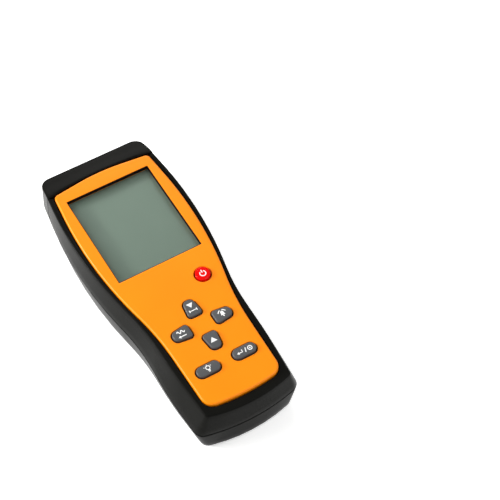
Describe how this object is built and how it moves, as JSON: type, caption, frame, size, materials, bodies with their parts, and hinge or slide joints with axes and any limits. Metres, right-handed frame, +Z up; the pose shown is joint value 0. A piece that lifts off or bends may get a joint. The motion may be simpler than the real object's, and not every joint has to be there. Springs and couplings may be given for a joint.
{
  "type": "ultrasonic thickness gauge",
  "caption": "Hand-held ultrasonic thickness gauge: waisted case in two halves, orange face with display window and push keys, probe sockets in the head end and a battery cover.",
  "frame": {"origin": "middle of the overall box at the back face the gauge lies on", "axes": "+Z up out of the orange face, +Y towards the head end with the probe sockets, +X to the right of someone reading it"},
  "size_m": [0.0708, 0.175, 0.033],
  "materials": {
    "case_plastic": "satin charcoal",
    "panel_plastic": "satin orange",
    "key_rubber": "matt grey",
    "power_key": "gloss red",
    "lens": "clear",
    "display": "grey-green",
    "diffuser": "white",
    "frame_plastic": "black",
    "strip_rubber": "pink and black layers",
    "board": "green solder mask",
    "mat_rubber": "milky",
    "chip_plastic": "black",
    "steel": "plated",
    "can": "sleeved",
    "nickel": "nickel",
    "white_plastic": "white",
    "brass": "gold-plated",
    "cell_jacket": "plain jacket",
    "lead_sleeve": "sleeved"
  },
  "bodies": {
    "body": {"front_case": "case_plastic", "front_panel": "panel_plastic", "back_case": "case_plastic", "display_lens": "lens", "display_glass": "display", "backlight": "diffuser", "display_holder": "frame_plastic", "contact_strips": "strip_rubber", "main_board": "board", "dome_mat": "mat_rubber", "processor_chip": "chip_plastic", "pulser_chip": "chip_plastic", "crystal": "steel", "capacitors": "can", "buzzer": "chip_plastic", "socket_left": "nickel", "socket_right": "nickel", "socket_nuts": "steel", "socket_insulators": "white_plastic", "socket_contacts": "brass", "socket_leads": "lead_sleeve", "battery_cells": "cell_jacket", "battery_springs": "steel", "battery_plates": "steel", "battery_leads": "lead_sleeve", "case_screws": "steel", "board_screws": "steel"},
    "key_power": {"key_power": "power_key"},
    "key_up": {"key_up": "key_rubber"},
    "key_down": {"key_down": "key_rubber"},
    "key_left": {"key_left": "key_rubber"},
    "key_right": {"key_right": "key_rubber"},
    "key_enter": {"key_enter": "key_rubber"},
    "key_light": {"key_light": "key_rubber"},
    "battery_cover": {"battery_cover": "case_plastic"}
  },
  "joints": [
    {"name": "key_power_press", "type": "slide", "parent": "body", "child": "key_power", "axis": [0, 0, -1], "range_m": [0, 0.0009], "stiffness_N_per_m": 300},
    {"name": "key_up_press", "type": "slide", "parent": "body", "child": "key_up", "axis": [0, 0, -1], "range_m": [0, 0.0009], "stiffness_N_per_m": 300},
    {"name": "key_down_press", "type": "slide", "parent": "body", "child": "key_down", "axis": [0, 0, -1], "range_m": [0, 0.0009], "stiffness_N_per_m": 300},
    {"name": "key_left_press", "type": "slide", "parent": "body", "child": "key_left", "axis": [0, 0, -1], "range_m": [0, 0.0009], "stiffness_N_per_m": 300},
    {"name": "key_right_press", "type": "slide", "parent": "body", "child": "key_right", "axis": [0, 0, -1], "range_m": [0, 0.0009], "stiffness_N_per_m": 300},
    {"name": "key_enter_press", "type": "slide", "parent": "body", "child": "key_enter", "axis": [0, 0, -1], "range_m": [0, 0.0009], "stiffness_N_per_m": 300},
    {"name": "key_light_press", "type": "slide", "parent": "body", "child": "key_light", "axis": [0, 0, -1], "range_m": [0, 0.0009], "stiffness_N_per_m": 300},
    {"name": "battery_cover_hinge", "type": "hinge", "parent": "body", "child": "battery_cover", "pos_m": [0, -0.06439, 0], "axis": [-1, 0, 0], "range_deg": [0, 35]}
  ]
}
